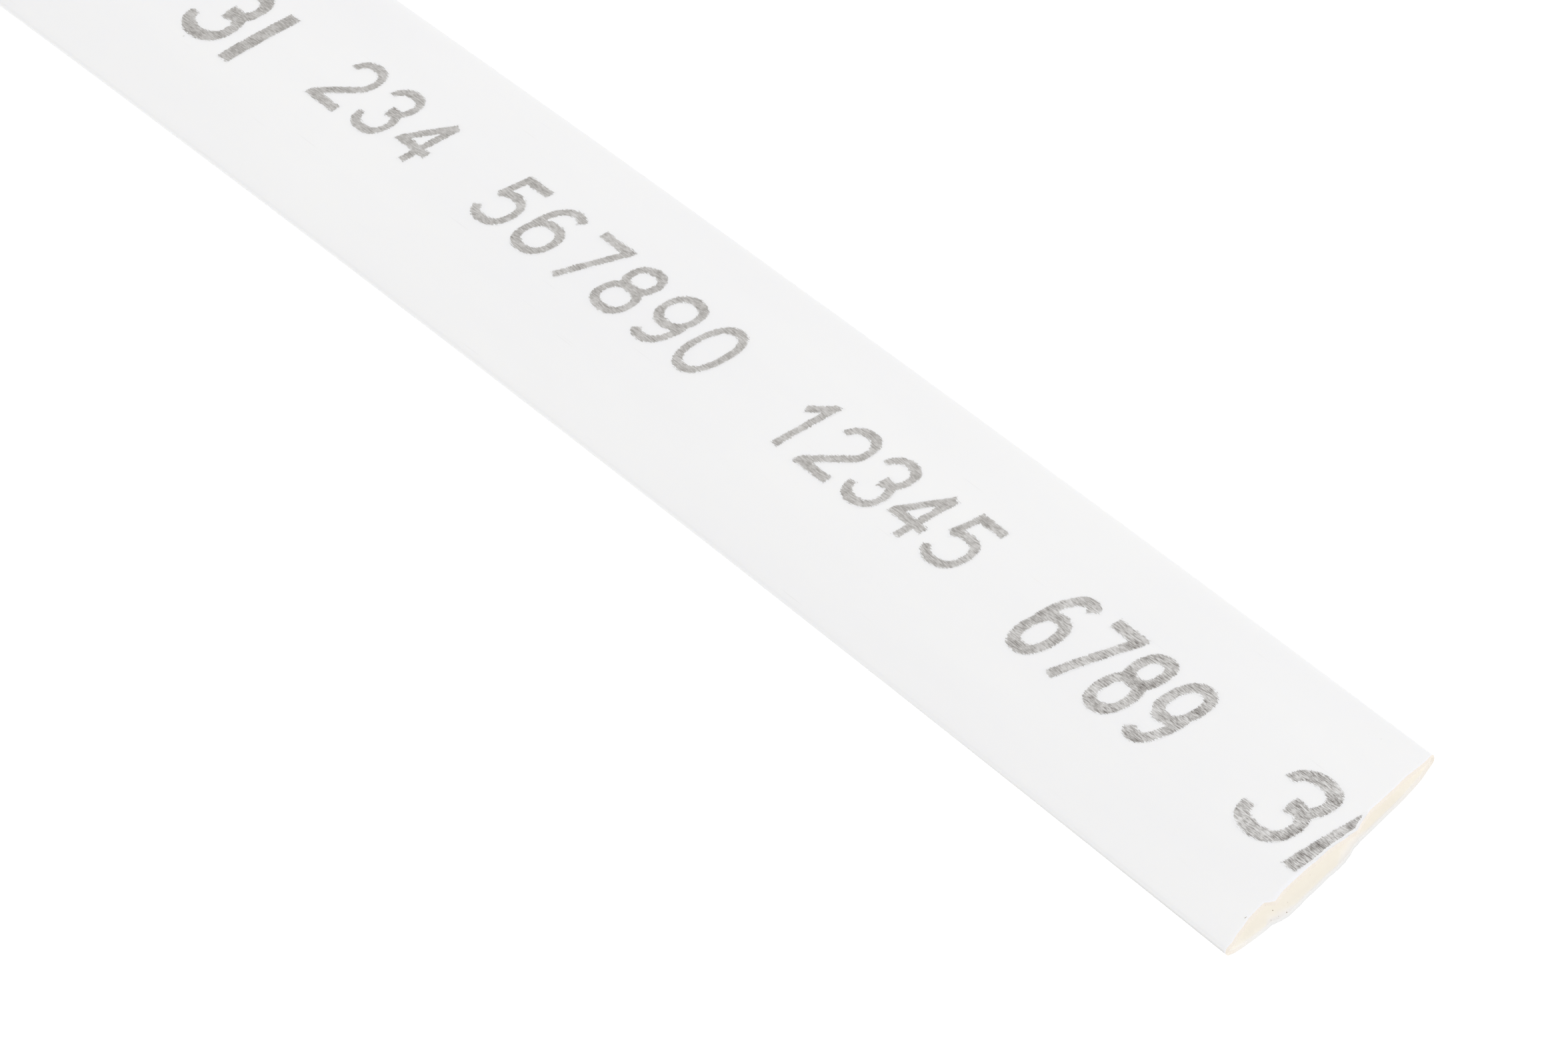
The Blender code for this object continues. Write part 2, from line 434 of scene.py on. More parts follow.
def polyolefin_inside():
    """The same polyolefin where light reaches it through the wall: a warm ivory that glows evenly, a painted
    glow standing in for that light, with painted shade deeper in.
    """
    material = bpy.data.materials.new("polyolefin_inside_face")
    material.use_nodes = True
    tree = material.node_tree
    shader = tree.nodes["Principled BSDF"]
    place = add_node(tree, "ShaderNodeAttribute", attribute_name="along_round")
    clouds = add_node(
        tree, "ShaderNodeTexNoise",
        {"Vector": surface_pattern(tree, 2.5 * MM, 1.2 * MM), "Scale": 1.0, "Detail": 3.0},
    )
    tint = add_node(tree, "ShaderNodeValToRGB", {"Fac": clouds.outputs["Fac"]})
    tint.color_ramp.elements[0].position = 0.3
    tint.color_ramp.elements[0].color = linear("#f7f4ee")
    tint.color_ramp.elements[1].position = 0.7
    tint.color_ramp.elements[1].color = linear("#f9f7f2")
    # Painted shade and painted glow: deeper in, the colour is painted darker and the glow stronger, as the
    # light that comes through the wall takes over from the light that falls in at the mouth.
    parts = add_node(tree, "ShaderNodeSeparateXYZ", {"Vector": place.outputs["Vector"]})
    depth = add_node(
        tree, "ShaderNodeMapRange", {"Value": parts.outputs["Z"], "From Min": 0.0, "From Max": 1.05 * MM}
    ).outputs["Result"]
    shade = add_node(
        tree, "ShaderNodeMix", {"Factor": depth, 6: tint.outputs["Color"], 7: linear("#b3aea3")},
        data_type="RGBA",
    )
    bruise = add_node(tree, "ShaderNodeAttribute", attribute_name="bruised")
    shade = add_node(
        tree, "ShaderNodeMix", {"Factor": bruise.outputs["Fac"], 6: shade.outputs[2], 7: linear("#f4f4f7")},
        data_type="RGBA",
    )
    tree.links.new(shade.outputs[2], shader.inputs["Base Color"])
    # Beside the folds the walls lie close together, and more of the light comes through them: the painted
    # glow is stronger there.
    solid = add_node(tree, "ShaderNodeTexCoord")
    level = add_node(tree, "ShaderNodeSeparateXYZ", {"Vector": solid.outputs["Object"]})
    painted_crease_glow = add_node(
        tree, "ShaderNodeMapRange",
        {"Value": level.outputs["Z"], "From Min": 0.45 * MM, "From Max": 0.85 * MM,
         "To Min": 0.0, "To Max": 0.08},
    )
    painted_glow = add_node(tree, "ShaderNodeMath", {0: depth, 1: 0.46, 2: 0.035}, operation="MULTIPLY_ADD")
    painted_glow = add_node(
        tree, "ShaderNodeMath", {0: painted_glow.outputs[0], 1: painted_crease_glow.outputs["Result"]}, operation="ADD"
    )
    # The bruised plastic is cloudier, and lets half as much through: the painted glow is halved there.
    whole = add_node(
        tree, "ShaderNodeMapRange", {"Value": bruise.outputs["Fac"], "To Min": 1.0, "To Max": 0.5}
    )
    painted_glow = add_node(
        tree, "ShaderNodeMath", {0: painted_glow.outputs[0], 1: whole.outputs["Result"]}, operation="MULTIPLY"
    )
    # Painted glow: the inside face emits its own ivory, though it is no lamp.
    tree.links.new(tint.outputs["Color"], shader.inputs["Emission Color"])
    tree.links.new(painted_glow.outputs[0], shader.inputs["Emission Strength"])
    fibres = add_node(
        tree, "ShaderNodeTexNoise",
        {"Vector": surface_pattern(tree, 0.5 * MM, 0.08 * MM), "Scale": 1.0, "Detail": 2.0},
    )
    relief = add_node(
        tree, "ShaderNodeBump", {"Strength": 0.3, "Distance": 0.01 * MM, "Height": fibres.outputs["Fac"]}
    )
    tree.links.new(relief.outputs["Normal"], shader.inputs["Normal"])
    shader.inputs["Roughness"].default_value = 0.5
    shader.inputs["IOR"].default_value = 1.5
    return material


def polyolefin_cut():
    """The wall where the scissors went through: the same plastic, ivory in its depth, crushed and matt."""
    material = bpy.data.materials.new("scissor_cut_polyolefin")
    material.use_nodes = True
    tree = material.node_tree
    shader = tree.nodes["Principled BSDF"]
    place = add_node(tree, "ShaderNodeTexCoord")
    crush = add_node(
        tree, "ShaderNodeTexNoise",
        {"Vector": surface_pattern(tree, 0.06 * MM, 0.15 * MM), "Scale": 1.0, "Detail": 3.0},
    )
    tint = add_node(tree, "ShaderNodeValToRGB", {"Fac": crush.outputs["Fac"]})
    tint.color_ramp.elements[0].position = 0.35
    tint.color_ramp.elements[0].color = linear("#f5ece0")
    tint.color_ramp.elements[1].position = 0.65
    tint.color_ramp.elements[1].color = linear("#f8f0e5")
    height = add_node(tree, "ShaderNodeSeparateXYZ", {"Vector": place.outputs["Object"]})
    low = add_node(
        tree, "ShaderNodeMapRange",
        {"Value": height.outputs["Z"], "From Min": 0.1 * MM, "From Max": 0.8 * MM,
         "To Min": 1.0, "To Max": 0.0},
    )
    colour = add_node(
        tree, "ShaderNodeMix",
        {"Factor": low.outputs["Result"], 6: tint.outputs["Color"], 7: linear("#f1f1f0")}, data_type="RGBA",
    )
    tree.links.new(colour.outputs[2], shader.inputs["Base Color"])
    relief = add_node(
        tree, "ShaderNodeBump", {"Strength": 0.2, "Distance": 0.01 * MM, "Height": crush.outputs["Fac"]}
    )
    tree.links.new(relief.outputs["Normal"], shader.inputs["Normal"])
    shader.inputs["Roughness"].default_value = 0.6
    shader.inputs["IOR"].default_value = 1.5
    return material


tube_mesh = build_tube_mesh()
tube_mesh.materials.append(polyolefin_film())
tube_mesh.materials.append(polyolefin_inside())
tube_mesh.materials.append(polyolefin_cut())
tube = bpy.data.objects.new("shrink_tube", tube_mesh)
bpy.context.scene.collection.objects.link(tube)
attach(tube, "root")
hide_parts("tube")

# Crumbs at the cut
# Specks of dark dust and one torn burr that the scissors left, held to the film by its static charge. The
# specks are low lumps under a tenth of a millimetre across. Most lie inside the mouth, on the lower wall.
ABOVE_TUBE = 3 * MM
CRUMB_SIDES = 10
# The rings of a crumb from below its face up, as shares of its height and of its reach.
CRUMB_RINGS = ((-0.3, 0.9), (0.25, 1.0), (0.8, 0.6))
# Each crumb as (distance back, distance from the -Y fold, half length, half width, height) in mm.
CRUMBS_INSIDE = (
    (1.73, 4.04, 0.040, 0.036, 0.020), (1.05, 4.46, 0.042, 0.036, 0.020), (1.16, 3.53, 0.030, 0.020, 0.010),
    (1.12, 3.98, 0.024, 0.018, 0.008), (1.66, 4.95, 0.020, 0.016, 0.008), (2.56, 7.03, 0.020, 0.016, 0.008),
)
CRUMBS_ON_TOP = ((0.95, 2.09, 0.020, 0.110, 0.008), (7.46, 15.43, 0.016, 0.014, 0.006))


def scissor_dust():
    """Dark grit and singed plastic: brownish grey, uneven and dull."""
    material = bpy.data.materials.new("dark_scissor_dust")
    material.use_nodes = True
    tree = material.node_tree
    shader = tree.nodes["Principled BSDF"]
    place = add_node(tree, "ShaderNodeTexCoord")
    mottle = add_node(
        tree, "ShaderNodeTexNoise",
        {"Vector": place.outputs["Object"], "Scale": 1 / (0.05 * MM), "Detail": 2.0},
    )
    tint = add_node(tree, "ShaderNodeValToRGB", {"Fac": mottle.outputs["Fac"]})
    tint.color_ramp.elements[0].position = 0.35
    tint.color_ramp.elements[0].color = linear("#aea394")
    tint.color_ramp.elements[1].position = 0.65
    tint.color_ramp.elements[1].color = linear("#c3bbae")
    tree.links.new(tint.outputs["Color"], shader.inputs["Base Color"])
    relief = add_node(
        tree, "ShaderNodeBump", {"Strength": 0.4, "Distance": 0.01 * MM, "Height": mottle.outputs["Fac"]}
    )
    tree.links.new(relief.outputs["Normal"], shader.inputs["Normal"])
    shader.inputs["Roughness"].default_value = 0.8
    return material


def crumbs_mesh():
    """All the crumbs as one mesh of low lumps, each sunk a little into the face that it lies on."""
    bpy.context.view_layer.update()
    points, faces = [], []
    for crumbs, from_level in ((CRUMBS_INSIDE, FOLD_LEVEL), (CRUMBS_ON_TOP, ABOVE_TUBE)):
        for number, crumb in enumerate(crumbs):
            back, from_fold, half_length, half_width, height = (size * MM for size in crumb)
            above = Vector(lay_on_bow(back, from_fold - WIDTH / 2, from_level))
            hit, place, _, _ = tube.ray_cast(above, (0, 0, -1))
            if not hit:
                continue
            along = Vector(lay_on_bow(back - MM, from_fold - WIDTH / 2, from_level)) - above
            along.normalize()
            aside = Vector((-along.y, along.x, 0))
            first = len(points)
            for level, reach in CRUMB_RINGS:
                for step in range(CRUMB_SIDES):
                    turn = math.tau * step / CRUMB_SIDES
                    ragged = reach * (1 + 0.3 * noise.noise(Vector((step * 0.9, number * 3.7, level))))
                    out = along * half_length * math.cos(turn) + aside * half_width * math.sin(turn)
                    points.append(place + out * ragged + Vector((0, 0, height * level)))
            second = first + CRUMB_SIDES
            third = second + CRUMB_SIDES
            tip = len(points)
            points.append(place + Vector((0, 0, height)))
            foot = len(points)
            points.append(place - Vector((0, 0, height * 0.3)))
            for step in range(CRUMB_SIDES):
                after = (step + 1) % CRUMB_SIDES
                for low, high in ((first, second), (second, third)):
                    faces.append([low + step, low + after, high + after, high + step])
                faces.append([third + step, third + after, tip])
                faces.append([first + after, first + step, foot])
    mesh = bpy.data.meshes.new("cutting_crumbs")
    mesh.from_pydata(points, [], faces)
    mesh.shade_smooth()
    return mesh


crumb_mesh = crumbs_mesh()
crumb_mesh.materials.append(scissor_dust())
crumbs_piece = bpy.data.objects.new("cutting_crumbs", crumb_mesh)
bpy.context.scene.collection.objects.link(crumbs_piece)
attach(crumbs_piece, "root")

# Foil numerals
# Plain numerals repeated all along the tube, hot-stamped in silver-grey foil. The foil took unevenly on the
# film's die lines: its edges break up into streaks along the tube, with pinholes and stray flecks.
RAGGED = 0.1 * MM  # how far the foil's broken rim reaches out of each stroke
STROKE_STEP = 0.17 * MM
FALL_FROM = 2.5 * MM  # the numerals drop on the tube from this level
FALL = 1.3 * MM  # and stop above its lower wall, so that what reaches past the cut lands on nothing
LANES = 4  # rows of faces across a stroke, and three times as many in a numeral that the cut goes through


def arc(centre_x, centre_y, reach_x, reach_y, start, end, steps=40):
    """Part of an oval, as points in a numeral's own box from 0 to 1, with angles in degrees."""
    angles = np.radians(np.linspace(start, end, steps))
    cosines, sines = np.cos(angles), np.sin(angles)
    squarer = 0.86
    x = centre_x + reach_x * np.sign(cosines) * np.abs(cosines) ** squarer
    y = centre_y + reach_y * np.sign(sines) * np.abs(sines) ** squarer
    return list(zip(x, y))


# Each numeral's strokes as smooth runs of their middle line. Runs that touch end to end meet in a mitre.
STROKES = {
    "0": [[arc(0.5, 0.5, 0.5, 0.5, -95, 95)], [arc(0.5, 0.5, 0.5, 0.5, 85, 275)]],
    "1": [[[(0.14, 0.70), (0.64, 1.0)], [(0.64, 1.0), (0.64, -0.07)]]],
    "i": [[[(0.5, 1.12), (0.5, -0.12)]]],  # a 1 with no flag
    "2": [[arc(0.5, 0.70, 0.48, 0.30, 172, -28) + [(0.0, 0.0)], [(0.0, 0.0), (1.09, 0.0)]]],
    "3": [
        [arc(0.49, 0.745, 0.45, 0.255, 178, -90)],
        [arc(0.50, 0.275, 0.48, 0.275, 95, -178)],
    ],
    "4": [[[(0.72, 1.0), (0.0, 0.27)], [(0.0, 0.27), (1.09, 0.27)]], [[(0.72, 1.0), (0.72, -0.07)]]],
    "5": [
        [[(1.0, 1.0), (0.14, 1.0)], [(0.14, 1.0), (0.06, 0.50)]],
        [arc(0.47, 0.31, 0.52, 0.31, 148, -158)],
    ],
    "6": [
        [arc(0.5, 0.30, 0.5, 0.30, -95, 95)],
        [arc(0.5, 0.30, 0.5, 0.30, 85, 275)],
        [arc(0.52, 0.5, 0.52, 0.5, 52, 185)],
    ],
    "7": [[[(-0.09, 1.0), (1.0, 1.0)], [(1.0, 1.0), (0.31, -0.07)]]],
    "8": [
        [arc(0.5, 0.765, 0.43, 0.235, -95, 95)],
        [arc(0.5, 0.765, 0.43, 0.235, 85, 275)],
        [arc(0.5, 0.27, 0.5, 0.27, -95, 95)],
        [arc(0.5, 0.27, 0.5, 0.27, 85, 275)],
    ],
    "9": [
        [arc(0.5, 0.70, 0.5, 0.30, -95, 95)],
        [arc(0.5, 0.70, 0.5, 0.30, 85, 275)],
        [arc(0.48, 0.5, 0.52, 0.5, -128, 5)],
    ],
}


def evenly_along(run, step):
    """A run's points put at even steps."""
    run = np.array(run, float)
    lengths = np.concatenate([[0], np.cumsum(np.hypot(*np.diff(run, axis=0).T))])
    count = max(2, round(lengths[-1] / step) + 1)
    at = np.linspace(0, lengths[-1], count)
    return np.column_stack([np.interp(at, lengths, run[:, axis]) for axis in (0, 1)])


def distance_from_rim(points, triangles):
    """How far each point of a flat mesh is from the mesh's nearest rim."""
    uses = {}
    for triangle in triangles:
        for one, other in zip(triangle, triangle[1:] + triangle[:1]):
            edge = (min(one, other), max(one, other))
            uses[edge] = uses.get(edge, 0) + 1
    rim = np.array([edge for edge, count in uses.items() if count == 1])
    starts, along = points[rim[:, 0]], points[rim[:, 1]] - points[rim[:, 0]]
    share = ((points[:, None] - starts) * along).sum(axis=2) / (along**2).sum(axis=1)
    nearest = starts + np.clip(share, 0, 1)[:, :, None] * along
    return np.linalg.norm(points[:, None] - nearest, axis=2).min(axis=1)


def numeral_mesh(name, numeral, width, height, stroke, fineness):
    """A flat numeral: its strokes as strips of small faces, then cut into one sheet with no overlaps."""
    vertices, cells = [], []
    size = np.array([width - stroke, height - stroke])
    reach = stroke / 2 + RAGGED

    def add_cell(corners):
        area = sum(a[0] * b[1] - b[0] * a[1] for a, b in zip(corners, corners[1:] + corners[:1]))
        first = len(vertices)
        vertices.extend(corners)
        order = list(range(first, first + len(corners)))
        cells.append(order if area > 0 else order[::-1])

    for line in STROKES[numeral]:
        before = None
        for run in line:
            middle = evenly_along(np.array(run) * size + stroke / 2, STROKE_STEP / fineness)
            ways = np.gradient(middle, axis=0)
            ways /= np.linalg.norm(ways, axis=1)[:, None]
            aside = np.column_stack([-ways[:, 1], ways[:, 0]]) * reach
            edges = [middle + aside * share for share in np.linspace(-1, 1, LANES * fineness + 1)]
            for one, other in zip(edges, edges[1:]):
                for index in range(len(middle) - 1):
                    add_cell([one[index], one[index + 1], other[index + 1], other[index]])
            if before is not None:
                last_way, last_aside = before
                turn = last_way[0] * ways[0][1] - last_way[1] * ways[0][0]
                out = -1 if turn > 0 else 1
                first_corner = middle[0] + out * last_aside
                last_corner = middle[0] + out * aside[0]
                tip = (last_aside + aside[0]) * out
                tip = middle[0] + tip * reach**2 / max(tip.dot(last_aside * out), 1e-9)
                add_cell([middle[0], first_corner, tip, last_corner])
            before = (ways[-1], aside[-1])

    low, high_x, high_y = -RAGGED, width + RAGGED, height + RAGGED
    flat = [Vector((min(max(x, low), high_x), min(max(y, low), high_y))) for x, y in vertices]
    joined, _, triangles, _, _, made_from = geometry.delaunay_2d_cdt(flat, [], cells, 1, 1e-7)
    solid = [list(triangle) for triangle, cell in zip(triangles, made_from) if cell]
    mesh = bpy.data.meshes.new(name)
    mesh.from_pydata([(point.x, point.y, 0.0) for point in joined], [], solid)
    from_rim = mesh.attributes.new("from_rim", "FLOAT", "POINT")
    from_rim.data.foreach_set("value", distance_from_rim(np.array([point[:] for point in joined]), solid))
    return mesh


# The four kinds of numeral, as (width, height, stroke) in mm, and the print from the cut end back: numerals,
# kind, distance back of their leading edge, pitch and height of their feet from the -Y fold, in mm.
LARGE = (3.1, 5.6, 0.76)
SMALL = (3.35, 4.6, 0.57)
ROUND = (4.7, 5.7, 0.85)
PLAIN_ONE = (1.1, 5.6, 1.1)
PRINT = (
    ("i", PLAIN_ONE, 1.65, 2.0, 5.65),
    ("3", ROUND, 3.9, 4.2, 5.8),
    ("6789", LARGE, 15.9, 3.72, 5.9),
    ("12345", SMALL, 36.9, 4.08, 7.0),
    ("567890", SMALL, 63.3, 4.40, 7.2),
    ("234", SMALL, 95.0, 4.40, 7.3),
)
REPEAT = 112.3  # the whole print comes again after this
PRINTED_TO = 996  # no numeral starts further back than this


def numerals_to_print():
    """Every numeral as (numeral, kind, distance back of its left edge, height of its feet)."""
    found = []
    for repeat in range(math.ceil(PRINTED_TO / REPEAT)):
        for numerals, style, lead, pitch, feet in PRINT:
            for place, numeral in enumerate(reversed(numerals)):
                back = lead + place * pitch + style[0] + repeat * REPEAT
                if back < PRINTED_TO:
                    found.append((numeral, style, back * MM, feet * MM))
    return found


def print_places(numerals, kinds):
    """A mesh with a vertex where each numeral's lower left corner goes, marked with which shape it takes."""
    backs = np.array([back for _, _, back, _ in numerals])
    across = np.array([feet - WIDTH / 2 for _, _, _, feet in numerals])
    mesh = bpy.data.meshes.new("print_places")
    mesh.from_pydata([tuple(p) for p in lay_on_bow(backs, across, np.zeros(len(backs)))], [], [])
    which = mesh.attributes.new("numeral", "INT", "POINT")
    which.data.foreach_set("value", [kinds.index((numeral, style)) for numeral, style, _, _ in numerals])
    return mesh


def print_tree():
    """Sets numerals on their places, turned with the bow, scatters flecks beside their edges, and lays it
    all down on the tube. Whatever reaches past the cut is left off."""
    tree = bpy.data.node_groups.new("lay_foil_on_tube", "GeometryNodeTree")
    sockets = (
        ("Places", "NodeSocketGeometry"), ("Numerals", "NodeSocketCollection"),
        ("Tube", "NodeSocketObject"), ("Bow centre", "NodeSocketVector"),
        ("Foil lift", "NodeSocketFloat"), ("Fleck step", "NodeSocketFloat"),
        ("Fleck spread", "NodeSocketVector"), ("Fleck radius", "NodeSocketFloat"),
        ("Fleck share", "NodeSocketFloat"), ("Seed", "NodeSocketInt"),
        ("Foil", "NodeSocketMaterial"), ("Trace", "NodeSocketMaterial"),
    )
    for name, kind in sockets:
        tree.interface.new_socket(name, in_out="INPUT", socket_type=kind)
    tree.interface.new_socket("Print", in_out="OUTPUT", socket_type="NodeSocketGeometry")
    given = add_node(tree, "NodeGroupInput").outputs
    position = add_node(tree, "GeometryNodeInputPosition").outputs[0]
    from_centre = add_node(
        tree, "ShaderNodeVectorMath", {0: position, 1: given["Bow centre"]}, operation="SUBTRACT"
    )
    parts = add_node(tree, "ShaderNodeSeparateXYZ", {0: from_centre.outputs[0]}).outputs
    turn = add_node(tree, "ShaderNodeMath", {0: parts["X"], 1: parts["Y"]}, operation="ARCTAN2")
    turn = add_node(tree, "ShaderNodeMath", {0: turn.outputs[0], 1: -1.0}, operation="MULTIPLY")
    turn = add_node(tree, "ShaderNodeCombineXYZ", {"Z": turn.outputs[0]}).outputs[0]

    shapes = add_node(
        tree, "GeometryNodeCollectionInfo",
        {"Collection": given["Numerals"], "Separate Children": True, "Reset Children": True},
    )
    number = add_node(tree, "GeometryNodeInputNamedAttribute", {"Name": "numeral"}, data_type="INT")
    numerals = add_node(
        tree, "GeometryNodeInstanceOnPoints",
        {"Points": given["Places"], "Instance": shapes.outputs[0], "Pick Instance": True,
         "Instance Index": number.outputs["Attribute"], "Rotation": turn},
    )
    numerals = add_node(tree, "GeometryNodeRealizeInstances", {0: numerals.outputs[0]}).outputs[0]

    neighbours = add_node(tree, "GeometryNodeInputMeshEdgeNeighbors")
    rim = add_node(
        tree, "FunctionNodeCompare", {2: neighbours.outputs[0], 3: 1}, data_type="INT", operation="EQUAL"
    )
    rims = add_node(tree, "GeometryNodeMeshToCurve", {"Mesh": numerals, "Selection": rim.outputs[0]})
    spots = add_node(
        tree, "GeometryNodeCurveToPoints",
        {"Curve": rims.outputs[0], "Length": given["Fleck step"]}, mode="LENGTH",
    )
    bare = add_node(
        tree, "FunctionNodeRandomValue", {"Probability": given["Fleck share"], "Seed": given["Seed"]},
        data_type="BOOLEAN",
    )
    bare = add_node(tree, "FunctionNodeBooleanMath", {0: bare.outputs[3]}, operation="NOT")
    spots = add_node(
        tree, "GeometryNodeDeleteGeometry", {0: spots.outputs[0], 1: bare.outputs[0]}, domain="POINT"
    )
    stray = add_node(
        tree, "FunctionNodeRandomValue", {0: (-1, -1, -1), 1: (1, 1, -1), "Seed": given["Seed"]},
        data_type="FLOAT_VECTOR",
    )
    stray = add_node(
        tree, "ShaderNodeVectorMath", {0: stray.outputs[0], 1: given["Fleck spread"]}, operation="MULTIPLY"
    )
    spots = add_node(tree, "GeometryNodeSetPosition", {0: spots.outputs[0], "Offset": stray.outputs[0]})
    fleck = add_node(
        tree, "GeometryNodeMeshCircle", {"Vertices": 5, "Radius": given["Fleck radius"]}, fill_type="NGON"
    )
    stretch = add_node(
        tree, "FunctionNodeRandomValue", {0: (0.5, 0.25, 1), 1: (3.5, 0.9, 1), "Seed": given["Seed"]},
        data_type="FLOAT_VECTOR",
    )
    flecks = add_node(
        tree, "GeometryNodeInstanceOnPoints",
        {"Points": spots.outputs[0], "Instance": fleck.outputs[0], "Rotation": turn,
         "Scale": stretch.outputs[0]},
    )
    flecks = add_node(tree, "GeometryNodeRealizeInstances", {0: flecks.outputs[0]})
    flecks = add_node(
        tree, "GeometryNodeStoreNamedAttribute", {0: flecks.outputs[0], "Name": "fleck", "Value": True},
        data_type="BOOLEAN", domain="POINT",
    )
    both = add_node(tree, "GeometryNodeJoinGeometry")
    tree.links.new(numerals, both.inputs[0])
    tree.links.new(flecks.outputs[0], both.inputs[0])

    target = add_node(tree, "GeometryNodeObjectInfo", {"Object": given["Tube"]})
    here = add_node(tree, "ShaderNodeSeparateXYZ", {0: position}).outputs
    above = add_node(tree, "ShaderNodeCombineXYZ", {"X": here["X"], "Y": here["Y"], "Z": FALL_FROM})
    pattern = add_node(
        tree, "GeometryNodeInputNamedAttribute", {"Name": "along_round"}, data_type="FLOAT_VECTOR"
    )
    fall = add_node(
        tree, "GeometryNodeRaycast",
        {"Target Geometry": target.outputs["Geometry"], "Attribute": pattern.outputs["Attribute"],
         "Source Position": above.outputs[0], "Ray Direction": (0, 0, -1), "Ray Length": FALL},
        data_type="FLOAT_VECTOR",
    ).outputs
    missed = add_node(tree, "FunctionNodeBooleanMath", {0: fall["Is Hit"]}, operation="NOT")
    both = add_node(
        tree, "GeometryNodeDeleteGeometry", {0: both.outputs[0], 1: missed.outputs[0]}, domain="POINT"
    )
    lift = add_node(tree, "ShaderNodeMath", {0: here["Z"], 1: given["Foil lift"]}, operation="ADD")
    lift = add_node(tree, "ShaderNodeCombineXYZ", {"Z": lift.outputs[0]})
    landed = add_node(
        tree, "ShaderNodeVectorMath", {0: fall["Hit Position"], 1: lift.outputs[0]}, operation="ADD"
    )
    both = add_node(
        tree, "GeometryNodeStoreNamedAttribute",
        {0: both.outputs[0], "Name": "along_round", "Value": fall["Attribute"]},
        data_type="FLOAT_VECTOR", domain="POINT",
    )
    both = add_node(tree, "GeometryNodeSetPosition", {0: both.outputs[0], "Position": landed.outputs[0]})
    both = add_node(tree, "GeometryNodeRealizeInstances", {0: both.outputs[0]})
    both = add_node(tree, "GeometryNodeSetMaterial", {0: both.outputs[0], "Material": given["Foil"]})
    is_fleck = add_node(tree, "GeometryNodeInputNamedAttribute", {"Name": "fleck"}, data_type="BOOLEAN")
    both = add_node(
        tree, "GeometryNodeSetMaterial",
        {0: both.outputs[0], "Selection": is_fleck.outputs["Attribute"], "Material": given["Trace"]},
    )
    add_node(tree, "NodeGroupOutput", {0: both.outputs[0]})
    return tree


